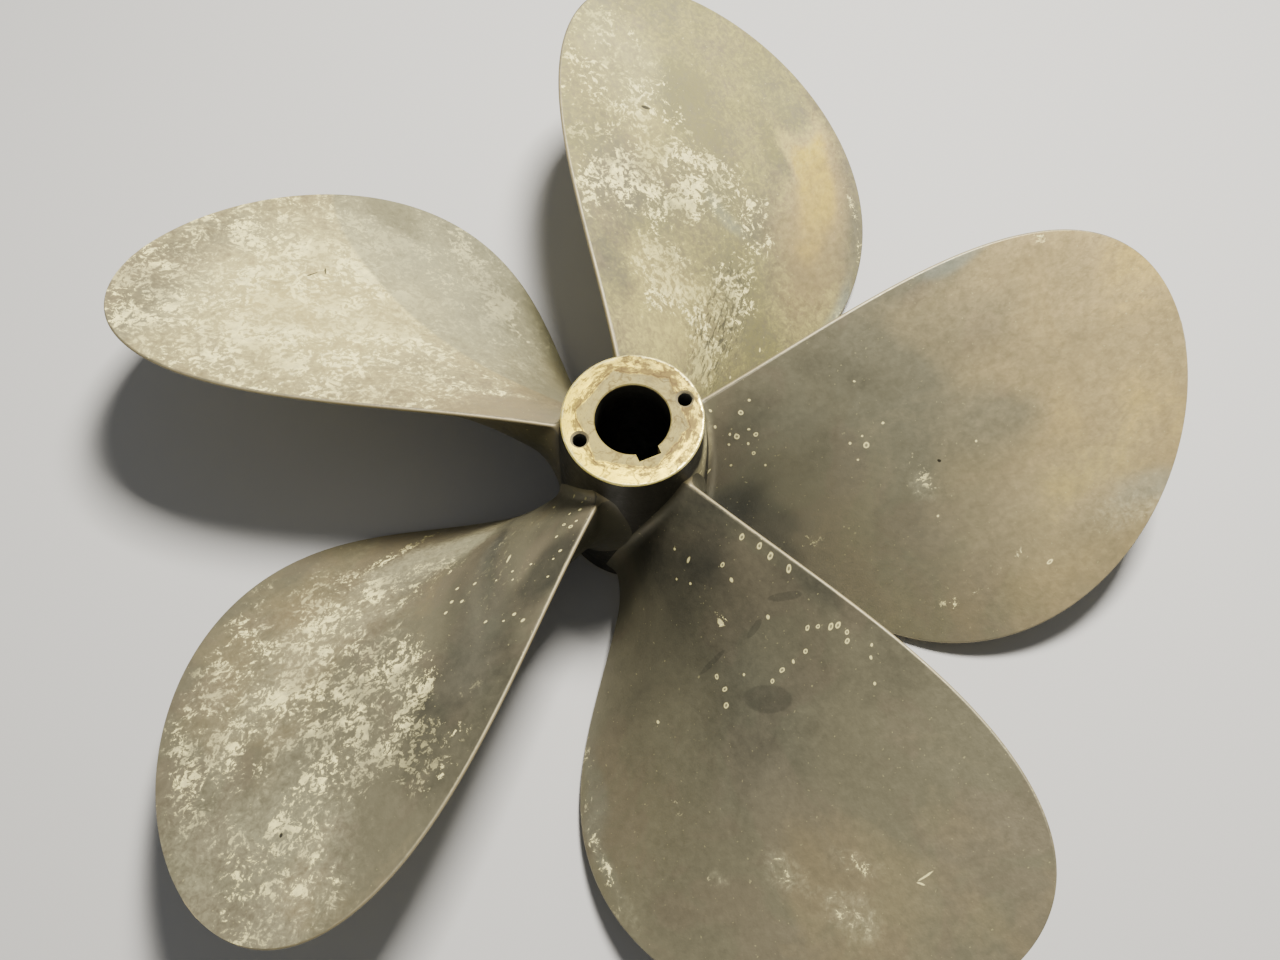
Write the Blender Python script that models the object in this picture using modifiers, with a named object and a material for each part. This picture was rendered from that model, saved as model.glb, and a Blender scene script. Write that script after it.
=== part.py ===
"""Five-bladed right-handed ship propeller, cast in one piece in bronze.

The forward face of the hub lies on the plane z = 0 and the shaft runs along +Z,
towards the aft end. +X passes through the first puller hole, and the keyway is
at -Y. Lengths are in metres.
"""
import math

import bmesh
import bpy

# Whole propeller
DIAMETER = 0.826
BLADES = 5

# Hub: a slightly bellied cone, wider at its forward end
HUB_LENGTH = 0.166
HUB_AFT_RADIUS = 0.0488
HUB_FORWARD_RADIUS = 0.058
HUB_BELLY = 0.002
HUB_BEVEL = 0.0012
HUB_ROWS = 8
HUB_STEPS = 72

# Shaft bore: taper of one in sixteen on the diameter, narrow end aft
BORE_AFT_RADIUS = 0.0258
BORE_TAPER = 1 / 16
BORE_BEVEL = 0.0008
BORE_STEPS = 72

# Keyway, measured at the bore's wall
KEY_WIDTH = 0.016
KEY_DEPTH = 0.0062

# Two tapped holes in the aft face, for a puller
PULLER_HOLES = 2
PULLER_CIRCLE_RADIUS = 0.0384
PULLER_HOLE_RADIUS = 0.0052
PULLER_MOUTH_RADIUS = 0.0062
PULLER_HOLE_DEPTH = 0.022
PULLER_POINT = 0.6
PULLER_STEPS = 24

# Blade outline, given at four shares of the tip radius, as on a propeller drawing.
# Height is that of the pressure face's reference line above the hub's middle.
STATIONS = (0.15, 0.45, 0.75, 1.0)
PITCH = (0.732, 0.901, 0.941, 1.084)
CHORD = (0.1175, 0.248, 0.351, 0.391)
SKEW_DEGREES = (-20.5, -22.25, -18.8, -10.2)
HEIGHT = (0.0484, 0.0513, 0.0575, 0.0656)
TIP_FULLNESS = 4.27
LAST_SHARE = 0.9992

# Blade thickness behind the chord line, greatest at the root, and the swell of the
# pressure face in front of it, which ends at a share of the tip radius
ROOT_THICKNESS = 0.030
TIP_THICKNESS = 0.0045
EDGE_THICKNESS = 0.003
FACE_BULGE = 0.012
FACE_BULGE_END = 0.8
BACK_TAPER = 1.25

# Root: radii of the fillets, how far the leading edge reaches along the hub, and the
# powers that hold each flare to its own edge of the blade
BACK_FILLET = 0.020
FACE_FILLET = 0.006
TRAIL_FILLET = 0.004
LEAD_FLARE = 0.046
LEAD_REACH = 0.030
LEAD_POWER = 3
TRAIL_POWER = 12
ROOT_SINK = 0.004

# Rows of the blade's mesh, and the rounds in which a flared point settles
CHORD_CELLS = 11
ROOT_ROWS = 9
SPAN_ROWS = 17
SPAN_CROWDING = 1.8
FLARE_ROUNDS = 3
CONE_ROUNDS = 6

# How far each cutting shape stands out of the metal
CUT_SPARE = 0.004

BRONZE_COLOUR = (0.30, 0.26, 0.18, 1.0)
BRONZE_METALLIC = 0.85
BRONZE_ROUGHNESS = 0.5

TIP_RADIUS = DIAMETER / 2
WAIST_RADIUS = (HUB_AFT_RADIUS + HUB_FORWARD_RADIUS) / 2


def through(values, share):
    """Smooth curve through the values given at the four stations."""
    total = 0.0
    for i, value in enumerate(values):
        term = value
        for j, other in enumerate(STATIONS):
            if j != i:
                term *= (share - other) / (STATIONS[i] - other)
        total += term
    return total


def hub_radius(height):
    """Outside radius of the hub at a height, limited to its two ends."""
    along = min(max(height / HUB_LENGTH, 0.0), 1.0)
    straight = HUB_FORWARD_RADIUS + (HUB_AFT_RADIUS - HUB_FORWARD_RADIUS) * along
    return straight + HUB_BELLY * 4 * along * (1 - along)


def bore_radius(height):
    return BORE_AFT_RADIUS + (HUB_LENGTH - height) * BORE_TAPER / 2


def arc(distance, radius):
    """Offset of a quarter circle that is tangent to the blade at one radius from the hub."""
    gap = max(radius - distance, 0.0)
    return radius - math.sqrt(radius ** 2 - gap ** 2)


def outline():
    """Places along the chord, from -1 at the leading edge to 1, with the skin's normals."""
    faces = [-math.cos(math.pi * i / CHORD_CELLS) for i in range(CHORD_CELLS + 1)]
    bends = [(math.cos(math.radians(turn)), math.sin(math.radians(turn))) for turn in (45, 0, -45)]
    columns = [(place, 0.0, 1.0) for place in faces]
    columns += [(1.0, c, s) for c, s in bends]
    columns += [(-place, 0.0, -1.0) for place in faces]
    columns += [(-1.0, -c, s) for c, s in reversed(bends)]
    return columns


def skin_point(radius, place, normal_along, normal_off):
    """Point of the blade's skin on the cylinder of one radius."""
    share = radius / TIP_RADIUS
    pitch = through(PITCH, share)
    slant = math.atan2(pitch, 2 * math.pi * radius)
    half = through(CHORD, share) / 2 * math.sqrt(1 - min(share, LAST_SHARE) ** TIP_FULLNESS)
    nose = EDGE_THICKNESS / 2
    thick = TIP_THICKNESS + (ROOT_THICKNESS - TIP_THICKNESS) * (1 - share) / (1 - STATIONS[0])
    bulge = FACE_BULGE * max(1 - share / FACE_BULGE_END, 0.0) / (1 - STATIONS[0] / FACE_BULGE_END)

    along = (half - nose) * place + nose * normal_along
    at = min(max(along / half, -1.0), 1.0)
    fullness = 1 - at ** 2
    if normal_off == 1.0:
        off = bulge * fullness
    elif normal_off == -1.0:
        taper = fullness ** BACK_TAPER if at > 0 else fullness
        off = -2 * nose - max(thick - 2 * nose, 0.0) * taper
    else:
        off = nose * normal_off - nose

    middle = math.radians(through(SKEW_DEGREES, share))
    height = HUB_LENGTH / 2 + through(HEIGHT, share) + middle * pitch / (2 * math.pi)
    level = height + along * math.sin(slant) + off * math.cos(slant)
    trim = arc(LEAD_REACH, LEAD_FLARE)
    below = TRAIL_FILLET + (BACK_FILLET - TRAIL_FILLET) * math.sqrt(fullness)
    for _ in range(FLARE_ROUNDS):
        distance = max(radius - hub_radius(level), 0.0)
        lead = arc(distance + trim, LEAD_FLARE) * ((1 - at) / 2) ** LEAD_POWER
        trail = arc(distance, TRAIL_FILLET) * ((1 + at) / 2) ** TRAIL_POWER
        spread = arc(distance, FACE_FILLET if normal_off > 0 else below) * normal_off
        flared, raised = along - lead + trail, off + spread
        level = height + flared * math.sin(slant) + raised * math.cos(slant)
    turn = middle + (flared * math.cos(slant) - raised * math.sin(slant)) / radius
    return radius * math.cos(turn), radius * math.sin(turn), level


def root_point(away, *column):
    """Point of the skin at a distance outside the hub's cone, of one radius further out."""
    share = min(max(away / LEAD_FLARE, 0.0), 1.0)
    blend = share * share * (3 - 2 * share)
    radius = WAIST_RADIUS + away
    for _ in range(CONE_ROUNDS):
        cone = hub_radius(skin_point(radius, *column)[2])
        radius = away + cone * (1 - blend) + WAIST_RADIUS * blend
    return skin_point(radius, *column)


def blade_rings():
    """Rings of points round the blade, from inside the hub out to the tip."""
    columns = outline()
    rings = [[root_point(-ROOT_SINK, *column) for column in columns]]
    for i in range(ROOT_ROWS):
        away = LEAD_FLARE * (1 - math.cos(math.pi / 2 * i / (ROOT_ROWS - 1)))
        rings.append([root_point(away, *column) for column in columns])
    first = WAIST_RADIUS + LEAD_FLARE
    for i in range(1, SPAN_ROWS + 1):
        radius = TIP_RADIUS - (TIP_RADIUS - first) * (1 - i / SPAN_ROWS) ** SPAN_CROWDING
        rings.append([skin_point(radius, *column) for column in columns])
    return rings


def blade_mesh(name):
    """One blade, from inside the hub out to the tip, as a closed mesh."""
    bm = bmesh.new()
    rings = [[bm.verts.new(p) for p in ring] for ring in blade_rings()]
    count = len(rings[0])
    for low, high in zip(rings, rings[1:]):
        for i in range(count):
            j = (i + 1) % count
            bm.faces.new((low[i], low[j], high[j], high[i]))
    face = CHORD_CELLS + 1
    for ring in (rings[0], rings[-1]):
        upper = ring[:face]
        lower = ring[face + 3:2 * face + 3][::-1]
        for i in range(face - 1):
            bm.faces.new((upper[i], upper[i + 1], lower[i + 1], lower[i]))
        tail = ring[face:face + 3]
        bm.faces.new((upper[-1], tail[0], tail[1], tail[2], lower[-1]))
        head = ring[2 * face + 3:]
        bm.faces.new((lower[0], head[0], head[1], head[2], upper[0]))
    bmesh.ops.triangulate(bm, faces=[f for f in bm.faces if len(f.verts) > 4])
    bmesh.ops.recalc_face_normals(bm, faces=bm.faces)
    mesh = bpy.data.meshes.new(name)
    bm.to_mesh(mesh)
    bm.free()
    mesh.shade_smooth()
    return mesh


def turned(name, profile, steps, collection):
    """Object made by turning a profile of (radius, height) points about Z."""
    mesh = bpy.data.meshes.new(name)
    points = [(radius, 0.0, height) for radius, height in profile]
    mesh.from_pydata(points, [(i, i + 1) for i in range(len(points) - 1)], [])
    obj = bpy.data.objects.new(name, mesh)
    collection.objects.link(obj)
    screw = obj.modifiers.new("Turn", "SCREW")
    screw.steps = steps
    screw.render_steps = steps
    screw.use_merge_vertices = True
    screw.merge_threshold = 0.00001
    screw.use_smooth_shade = True
    return obj


def hub_profile():
    profile = [(0.0, HUB_LENGTH), (HUB_AFT_RADIUS - HUB_BEVEL, HUB_LENGTH)]
    low, high = HUB_BEVEL, HUB_LENGTH - HUB_BEVEL
    for i in range(HUB_ROWS + 1):
        height = high + (low - high) * i / HUB_ROWS
        profile.append((hub_radius(height), height))
    profile += [(HUB_FORWARD_RADIUS - HUB_BEVEL, 0.0), (0.0, 0.0)]
    return profile


def bore_profile():
    spare = CUT_SPARE
    mouth = HUB_LENGTH - BORE_BEVEL
    return [
        (0.0, HUB_LENGTH + spare),
        (BORE_AFT_RADIUS + BORE_BEVEL + spare, HUB_LENGTH + spare),
        (bore_radius(mouth), mouth),
        (bore_radius(BORE_BEVEL), BORE_BEVEL),
        (bore_radius(0.0) + BORE_BEVEL + spare, -spare),
        (0.0, -spare),
    ]


def puller_profile():
    spare = CUT_SPARE / 2
    step = PULLER_MOUTH_RADIUS - PULLER_HOLE_RADIUS
    bottom = HUB_LENGTH - PULLER_HOLE_DEPTH
    return [
        (0.0, HUB_LENGTH + spare),
        (PULLER_MOUTH_RADIUS + spare, HUB_LENGTH + spare),
        (PULLER_HOLE_RADIUS, HUB_LENGTH - step),
        (PULLER_HOLE_RADIUS, bottom),
        (0.0, bottom - PULLER_HOLE_RADIUS * PULLER_POINT),
    ]


def key_mesh(name):
    """Slot for the key: its bottom follows the taper of the bore."""
    spare = CUT_SPARE
    bm = bmesh.new()
    rings = []
    for height in (-spare, HUB_LENGTH + spare):
        wall = bore_radius(height)
        depth = math.sqrt(wall ** 2 - (KEY_WIDTH / 2) ** 2) + KEY_DEPTH
        near = wall / 2
        half = KEY_WIDTH / 2
        corners = ((-half, -depth), (half, -depth), (half, -near), (-half, -near))
        rings.append([bm.verts.new((x, y, height)) for x, y in corners])
    bm.faces.new(rings[0])
    bm.faces.new(rings[1])
    for i in range(4):
        j = (i + 1) % 4
        bm.faces.new((rings[0][i], rings[0][j], rings[1][j], rings[1][i]))
    bmesh.ops.recalc_face_normals(bm, faces=bm.faces)
    mesh = bpy.data.meshes.new(name)
    bm.to_mesh(mesh)
    bm.free()
    return mesh


def boolean(target, operand, operation):
    modifier = target.modifiers.new(operand.name, "BOOLEAN")
    modifier.object = operand
    modifier.operation = operation
    modifier.solver = "EXACT"


def bronze():
    material = bpy.data.materials.new("weathered_bronze")
    material.use_nodes = True
    shader = material.node_tree.nodes["Principled BSDF"]
    shader.inputs["Base Color"].default_value = BRONZE_COLOUR
    shader.inputs["Metallic"].default_value = BRONZE_METALLIC
    shader.inputs["Roughness"].default_value = BRONZE_ROUGHNESS
    material.diffuse_color = BRONZE_COLOUR
    return material


def main():
    for obj in list(bpy.data.objects):
        bpy.data.objects.remove(obj, do_unlink=True)
    scene = bpy.context.scene
    helpers = bpy.data.collections.new("helpers")
    scene.collection.children.link(helpers)

    casting = turned("propeller_casting", hub_profile(), HUB_STEPS, scene.collection)
    casting.data.materials.append(bronze())

    blade = blade_mesh("blade")
    for i in range(BLADES):
        arm = bpy.data.objects.new(f"blade_{i + 1}", blade)
        arm.rotation_euler = (0.0, 0.0, 2 * math.pi * i / BLADES)
        helpers.objects.link(arm)
        boolean(casting, arm, "UNION")

    bore = turned("shaft_bore", bore_profile(), BORE_STEPS, helpers)
    boolean(casting, bore, "DIFFERENCE")
    key = bpy.data.objects.new("keyway", key_mesh("keyway"))
    helpers.objects.link(key)
    boolean(casting, key, "DIFFERENCE")
    for i in range(PULLER_HOLES):
        hole = turned(f"puller_hole_{i + 1}", puller_profile(), PULLER_STEPS, helpers)
        angle = 2 * math.pi * i / PULLER_HOLES
        hole.location = (PULLER_CIRCLE_RADIUS * math.cos(angle),
                         PULLER_CIRCLE_RADIUS * math.sin(angle), 0.0)
        boolean(casting, hole, "DIFFERENCE")

    for obj in helpers.objects:
        obj.hide_render = True
        obj.display_type = "WIRE"


main()
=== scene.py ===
"""Weathered bronze ship propeller: dresses the CAD frame with its fine meshes and finishes."""
import math

import bmesh
import bpy
import numpy as np
from bpy.props import FloatProperty, FloatVectorProperty, IntProperty, PointerProperty
from bpy.types import NodeSocket, Operator, Panel, PropertyGroup
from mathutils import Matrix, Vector, noise


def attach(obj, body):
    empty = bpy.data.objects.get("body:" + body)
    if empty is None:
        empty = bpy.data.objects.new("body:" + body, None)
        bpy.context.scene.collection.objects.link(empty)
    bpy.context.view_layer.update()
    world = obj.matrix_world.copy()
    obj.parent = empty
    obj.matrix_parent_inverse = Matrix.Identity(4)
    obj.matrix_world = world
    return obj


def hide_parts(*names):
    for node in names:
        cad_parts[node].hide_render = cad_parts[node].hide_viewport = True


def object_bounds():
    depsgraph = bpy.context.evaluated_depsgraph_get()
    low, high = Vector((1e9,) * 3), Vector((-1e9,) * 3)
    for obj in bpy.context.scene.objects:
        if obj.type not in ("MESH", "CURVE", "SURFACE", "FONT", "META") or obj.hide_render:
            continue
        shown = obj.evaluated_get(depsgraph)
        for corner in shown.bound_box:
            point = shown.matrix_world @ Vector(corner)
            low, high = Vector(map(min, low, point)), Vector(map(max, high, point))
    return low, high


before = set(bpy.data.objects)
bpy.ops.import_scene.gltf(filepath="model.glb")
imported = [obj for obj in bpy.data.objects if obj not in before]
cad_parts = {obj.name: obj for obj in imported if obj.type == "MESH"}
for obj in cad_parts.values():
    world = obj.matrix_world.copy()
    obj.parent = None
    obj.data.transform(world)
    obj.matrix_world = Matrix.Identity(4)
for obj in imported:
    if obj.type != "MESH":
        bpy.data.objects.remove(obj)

bl_info = {
    "name": "Bronze Propeller",
    "version": (1, 0, 0),
    "blender": (4, 5, 0),
    "location": "View3D > Sidebar > Propeller",
    "description": "Builds a weathered five-bladed bronze ship propeller and its studio",
    "category": "Object",
}

NODE = "propeller_casting"
BODY = "root"
CAD_LOW, CAD_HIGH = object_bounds()
HUB_LENGTH = CAD_HIGH.z - CAD_LOW.z

# Blade outline at four shares of the tip radius, as on a propeller drawing. The height is
# from the hub's middle. The fullness rounds the tip, and the last share keeps it open.
STATIONS = (0.15, 0.45, 0.75, 1.0)
PITCH = (0.732, 0.901, 0.941, 1.084)
CHORD = (0.1175, 0.248, 0.351, 0.391)
SKEW_DEGREES = (-20.5, -22.25, -18.8, -10.2)
HEIGHT = (0.0484, 0.0513, 0.0575, 0.0656)
TIP_FULLNESS = 4.27
LAST_SHARE = 0.9995

# Section: where the swell of the pressure face ends, how the back thins towards the
# trailing edge, and the powers that hold each root flare to its own edge
FACE_BULGE_END = 0.8
BACK_TAPER = 1.25
LEAD_POWER = 3
TRAIL_POWER = 12

# Rows and columns of the blade's mesh, the rounds in which a flared point settles, and
# the angle in degrees from which a crease stays sharp
CHORD_CELLS = 64
EDGE_BENDS = 7
ROOT_ROWS = 34
ROOT_SINKS = (-0.004, -0.0015)
SPAN_ROWS = 96
SPAN_CROWDING = 1.8
FLARE_ROUNDS = 3
CONE_ROUNDS = 6
CREASE = 40

# Rows and steps of the hub's mesh, and of the shapes that cut it
HUB_STEPS = 240
HUB_ROWS = 40
HUB_BEVEL_ROWS = 4
HUB_CREASE = 35
CUT_SPARE = 0.004
BORE_BEVEL = 0.0008
BORE_ROWS = (BORE_BEVEL, 0.003, 0.008)
PULLER_STEPS = 48
PULLER_SIDES = (1, -1)
PULLER_POINT = 0.6
THREAD_PITCH = 0.0015
THREAD_RISE = 0.0003
THREAD_SHAPE = ((0.1, 1), (0.5, -1), (0.95, 1))

# Material slots of the hub, and how they are told apart: lean of a flat face's normal,
# height of the end bands, and the spare room round and under a puller hole
OXIDISED, TURNED, BORED = range(3)
FLAT_NORMAL = 0.7
END_BAND = 0.001
HOLE_RIM = 0.0002
HOLE_POINT = 0.01

MM = 1000  # in a metre

# Marks on the pressure faces, in millimetres: how far out from the shaft, how far across
# the chord towards the trailing edge, half length, half width, strength in percent, and the
# turn in degrees if there is one. Blades are counted round from the one nearest +X, from 0.
FLAKES = (
    ((210, -4, 18, 5, 30, -40), (222, -24, 15, 6, 31, -30), (135, -58, 12, 5, 32, 30),
     (250, -108, 10, 5, 30), (288, -84, 11, 4, 30, -20), (268, -150, 34, 3, 31, -10),
     (330, 131, 5, 4, 36)),
    ((310, 100, 84, 44, 39), (222, 66, 34, 66, 56, 14), (262, 6, 22, 28, 49),
     (258, 46, 16, 18, 51), (294, 50, 14, 20, 28), (238, -38, 26, 20, 47),
     (150, 36, 34, 26, 57, 20), (150, -25, 48, 34, 50), (212, 11, 36, 7, 8, -43),
     (108, -18, 24, 20, 56), (300, -140, 30, 5, 36, 25), (232, -140, 22, 6, 40)),
    ((290, 15, 150, 150, 53), (375, 60, 50, 60, 46), (238, -84, 80, 40, 34, -38),
     (200, -88, 42, 10, 66, -30), (262, -118, 34, 9, 58, -40), (320, -116, 30, 14, 8, -40),
     (200, -112, 60, 6, 6, -36), (174, -26, 30, 7, 26, -35), (120, 46, 55, 9, 42, 16),
     (250, 130, 120, 14, 40, 14)),
    ((300, -60, 80, 66, 42, 10), (255, 40, 50, 62, 51, -10), (238, 98, 26, 26, 48),
     (222, 58, 15, 18, 33), (252, 116, 18, 14, 46), (300, 66, 26, 34, 39, 30),
     (331, -10, 13, 24, 20), (335, 60, 36, 24, 37), (385, 45, 30, 34, 34), (365, -40, 18, 46, 44),
     (290, -104, 40, 12, 36, 10), (284, -88, 18, 22, 14), (190, -40, 50, 18, 46, -20),
     (200, -80, 70, 6, 44, 12), (130, 40, 90, 30, 10, 40), (200, 105, 50, 22, 6, 40),
     (352, 88, 26, 32, 37)),
    ((238, -59, 7, 4, 34), (298, -17, 12, 8, 38, 20), (315, 24, 10, 7, 31), (340, -7, 15, 10, 36),
     (290, -62, 5, 4, 31), (230, -130, 60, 7, 30, -16), (280, -138, 34, 5, 30, -18),
     (138, 30, 5, 5, 42)),
)
FILM = (
    ((215, -20, 20, 9, 34, -40), (368, -90, 34, 14, 30, -40), (49, 12, 5, 36, 50)),
    ((240, 0, 220, 190, 76), (305, 105, 90, 42, 70), (230, 66, 36, 70, 66, 14),
     (240, -36, 26, 20, 56), (150, 0, 60, 50, 66, 10), (280, -98, 84, 48, 14, -15),
     (212, 11, 36, 9, 60, -43), (190, 100, 60, 26, 40), (156, 80, 44, 13, 42, 12)),
    ((285, 10, 160, 150, 78), (320, -116, 28, 13, 12, -40), (192, -92, 46, 12, 35, -36),
     (120, 46, 50, 8, 50, 16), (390, 30, 26, 70, 40)),
    ((300, -30, 100, 95, 42, 10), (255, 40, 52, 66, 34, -10), (380, 30, 40, 70, 46),
     (250, -105, 60, 22, 24, 20), (240, -40, 110, 22, 62, 4), (160, -50, 50, 24, 72, -10),
     (130, 40, 90, 30, 3, 40), (200, 105, 60, 26, 4, 40), (331, -10, 14, 24, 18),
     (345, 66, 40, 50, 58), (104, -56, 30, 12, 55, -30)),
    ((345, 0, 40, 80, 8), (298, -17, 17, 13, 42, 20), (315, 24, 13, 11, 26), (340, -7, 18, 16, 42),
     (288, -60, 9, 7, 30), (275, -136, 50, 8, 26, -10), (55, 52, 6, 8, 44)),
)
TONE = (
    ((170, 0, 110, 130, -6), (215, 20, 60, 80, 2), (360, 20, 112, 150, 84),
     (300, 90, 60, 40, 66, 30), (84, 16, 40, 46, -46), (90, -36, 38, 16, -56),
     (118, 10, 26, 24, -20), (75, -36, 30, 22, -84), (112, -42, 22, 14, -66),
     (105, -62, 34, 16, -66, -30), (150, 74, 34, 13, -26, -20), (262, 22, 36, 24, 16),
     (49, 12, 5, 36, 16), (246, 104, 44, 28, 40), (352, -104, 30, 34, 46),
     (356, -118, 36, 15, 62, -40)),
    ((240, 0, 200, 180, 6), (310, 85, 70, 50, 34, 10), (315, 30, 34, 30, -14),
     (285, -40, 20, 36, 16, 20), (248, -94, 50, 40, 60), (308, -88, 54, 34, 118, -14),
     (170, 104, 60, 14, 10), (212, 11, 36, 9, 20, -43), (303, -50, 13, 13, 4),
     (358, -66, 20, 24, 0), (120, 20, 60, 60, 42), (158, -70, 18, 12, -16),
     (156, 80, 44, 13, 0, 12)),
    ((240, 0, 200, 200, 62), (223, -114, 170, 75, 14, -34), (385, 40, 40, 90, 22),
     (270, 30, 90, 60, 80, -20), (150, 50, 60, 20, 50, 16), (124, -2, 36, 28, 60),
     (112, -60, 30, 18, 62, -40), (174, -26, 30, 7, 20, -35)),
    ((240, 0, 200, 180, 2), (300, -60, 80, 66, 28, 10), (331, -10, 22, 32, 16),
     (205, 100, 76, 42, -66, 40), (150, 30, 60, 28, -50, 50), (118, 4, 44, 5, -60, 56),
     (75, 34, 26, 18, -40), (380, 20, 30, 80, -15), (112, 76, 34, 20, -80, 20),
     (104, -56, 28, 12, 20, -30), (352, 92, 24, 30, 12)),
    ((200, 0, 160, 160, -34), (345, 30, 75, 110, 10), (300, 100, 60, 40, -6, 20),
     (150, 20, 80, 70, -50), (80, 30, 40, 50, -70), (95, 38, 20, 9, -84, 60), (330, 85, 50, 30, 0),
     (240, -110, 80, 34, -20, -10), (222, -50, 74, 34, -20, -25), (168, 88, 36, 26, -50, 40),
     (160, 95, 34, 8, -58, 40)),
)
GREEN = (
    ((170, -20, 110, 110, 9), (262, 142, 30, 6, 60, 4), (380, -82, 36, 10, 42, -40),
     (300, -48, 60, 44, 12)),
    ((236, -6, 22, 7, 30, 60), (235, -138, 30, 8, 50), (335, 92, 50, 34, 12),
     (358, -66, 20, 24, 4)),
    ((300, -60, 60, 60, 6), (350, 20, 40, 60, 6)),
    ((118, 1, 16, 9, 14, 40), (165, 60, 60, 20, 8, 45)),
    ((232, -126, 60, 9, 14, -16), (200, 0, 60, 60, 6)),
)

# The same on the hub's side: height above the floor, and round the hub from +X
# The first two marks of film and tone are painted highlights, light bands beside the roots
HUB_FILM_AND_HIGHLIGHTS = ((138, -40, 36, 8, 85, 18), (120, -52, 16, 9, 85), (150, -12, 12, 18, 35),
            (130, 60, 30, 30, 30))
HUB_TONE_AND_HIGHLIGHTS = ((138, -40, 36, 8, 50, 18), (120, -52, 16, 9, 50), (150, -12, 12, 18, -30))
HUB_FLAKES = ((74, -109, 5, 3, 42), (118, -52, 10, 7, 46), (142, -39, 20, 5, 34, 18))

# The same on the back of every blade, which the photograph does not show
BACK_FLAKES = ((320, 10, 80, 120, 42), (230, -40, 50, 60, 34, 20))
BACK_FILM = ((320, 10, 90, 130, 45), (220, 0, 60, 100, 30))
BACK_TONE = ((120, 0, 140, 160, -60), (320, 0, 100, 160, -10))

# Regions of short dark pits, eaten through the chalk along the flow, by blade
PITS = {1: ((132, -26, 38, 28, 100), (176, -32, 24, 20, 70))}

# Film colours, thin and thick, on most blades and on the ones that differ
FILM_SHADES = ("film_grey", "film_pale")
OTHER_FILM_SHADES = {1: ("film_olive", "film_khaki"), 2: ("film_grey", "film_warm")}

# Small marks with a crisp outline, by blade, with no strength of their own
DROPS = {
    0: ((79, 46, 1.3, 1.4), (74, 28, 1.4, 1.6), (88, 29, 1.4, 1.2, 40), (169, 18, 1.6, 1.7),
        (86, 14, 1, 1.1), (312, -96, 1.4, 1.4, 20)),
    3: ((78, 55, 1.1, 1.3), (78, 47, 0.9, 1.1)),
    4: ((105, 74, 1.2, 1.7), (118, 83, 1.3, 1.8), (128, 87, 1.4, 2), (143, 95, 1.4, 1.9, 30),
        (108, 51, 0.9, 1.3), (178, 87, 1, 1.3), (182, 94, 0.9, 1.2), (188, 102, 1.2, 1.7),
        (191, 107, 1.2, 1.7), (198, 110, 1, 1.3), (202, 107, 1.1, 1.5), (188, 78, 1, 1.4),
        (188, 57, 1.1, 1.5), (190, 47, 1, 1.2), (178, 12, 1.1, 1.6), (188, 8, 1.3, 1.6, 30),
        (168, 10, 1.1, 1.4, 60)),
}
DOTS = {
    0: ((157, 20, 1, 1), (166, 25, 0.9, 0.9), (163, 7, 0.9, 0.8), (182, 34, 1, 0.9),
        (87, 55, 1, 1), (58, 48, 1, 1), (59, 36, 1, 1.3), (83, 33, 1, 0.8), (69, 30, 0.9, 1.1),
        (68, 22, 0.9, 0.9), (82, 22, 0.8, 1.2), (70, 5, 0.9, 0.9), (95, 4, 0.8, 0.8),
        (55, 5, 1, 1), (226, -40, 0.9, 0.9), (250, 12, 0.9, 0.9), (165, 66, 0.9, 0.8)),
    1: ((160, -77, 1.5, 1, 40), (122, -62, 1.1, 1), (320, 108, 3, 1.2, 60), (208, 66, 1.2, 1)),
    2: ((240, 66, 1.6, 1.5), (337, -7, 7.4, 1, -70), (332, -23, 9.8, 1.2, -75),
        (327, -40, 7, 1, -69), (294, 29, 9.6, 1.4, -51), (301, 13, 8.6, 1.1, -83),
        (283, 35, 5.6, 1.6, -27)),
    3: ((156, 11, 1.5, 1.2), (145, 21, 1.5, 1.2), (165, 20, 1.4, 1.2), (160, 28, 1.5, 1.2),
        (173, 26, 1.5, 1.2), (134, 37, 0.8, 0.8), (162, 65, 1.2, 1), (149, 81, 1.4, 1.3),
        (151, 92, 1.5, 1.2), (156, 78, 0.8, 0.8), (123, 43, 1, 1), (128, 51, 0.8, 0.8),
        (117, 78, 0.9, 0.9), (113, 53, 0.9, 0.9), (104, 68, 0.8, 0.8), (97, 67, 1, 1),
        (88, 51, 1, 0.8), (73, 55, 0.9, 0.9), (69, 42, 0.9, 0.8), (64, 48, 1, 1.2),
        (58, 43, 0.8, 0.8), (56, 29, 1, 1), (55, 44, 1, 1), (69, 13, 0.9, 1.6),
        (117, 26, 4, 1, 40)),
    4: ((120, 52, 1.4, 1.2), (155, 65, 1.5, 1.3), (138, 30, 3, 2, 20), (215, 120, 1, 1),
        (220, 115, 1.2, 1), (188, 67, 1.2, 1), (90, 27, 1, 2.4, 20), (78, 20, 1, 1),
        (342, 51, 5.5, 0.6, 90), (344, 45, 2, 0.7, 30), (96, 10, 0.9, 0.9), (104, 20, 1, 1),
        (182, -50, 1.2, 1.2), (176, 30, 1, 1), (233, 108, 1, 1)),
}
STAINS = {4: ((198, 38, 18, 9, 60), (153, 83, 14, 2.5, 60), (158, 11, 13, 2, 104),
              (155, 52, 8, 2.5, 104))}
NICKS = {
    0: ((223, 2, 1.6, 1, -30),),
    1: ((292, 75, 1.5, 4.2, 5),),
    2: ((298, 0, 5, 0.6, -105), (294, -9, 4.5, 0.5, -55)),
    3: ((345, 52, 1.3, 1.3),),
}
PATCHES = {2: ((130, -262, 273, 273),)}

# Slow noise that bends the soft marks: waves to the metre, how far it moves them, its
# place on the hub and its step from blade to blade. The seed lets every run paint alike.
WANDER_SEED = 3
WANDER_WAVES = 22
BLADE_WANDER = 0.014
HUB_WANDER = 0.010
HUB_WANDER_PLACE = 3.1
BLADE_WANDER_STEP = 7.3

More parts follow.
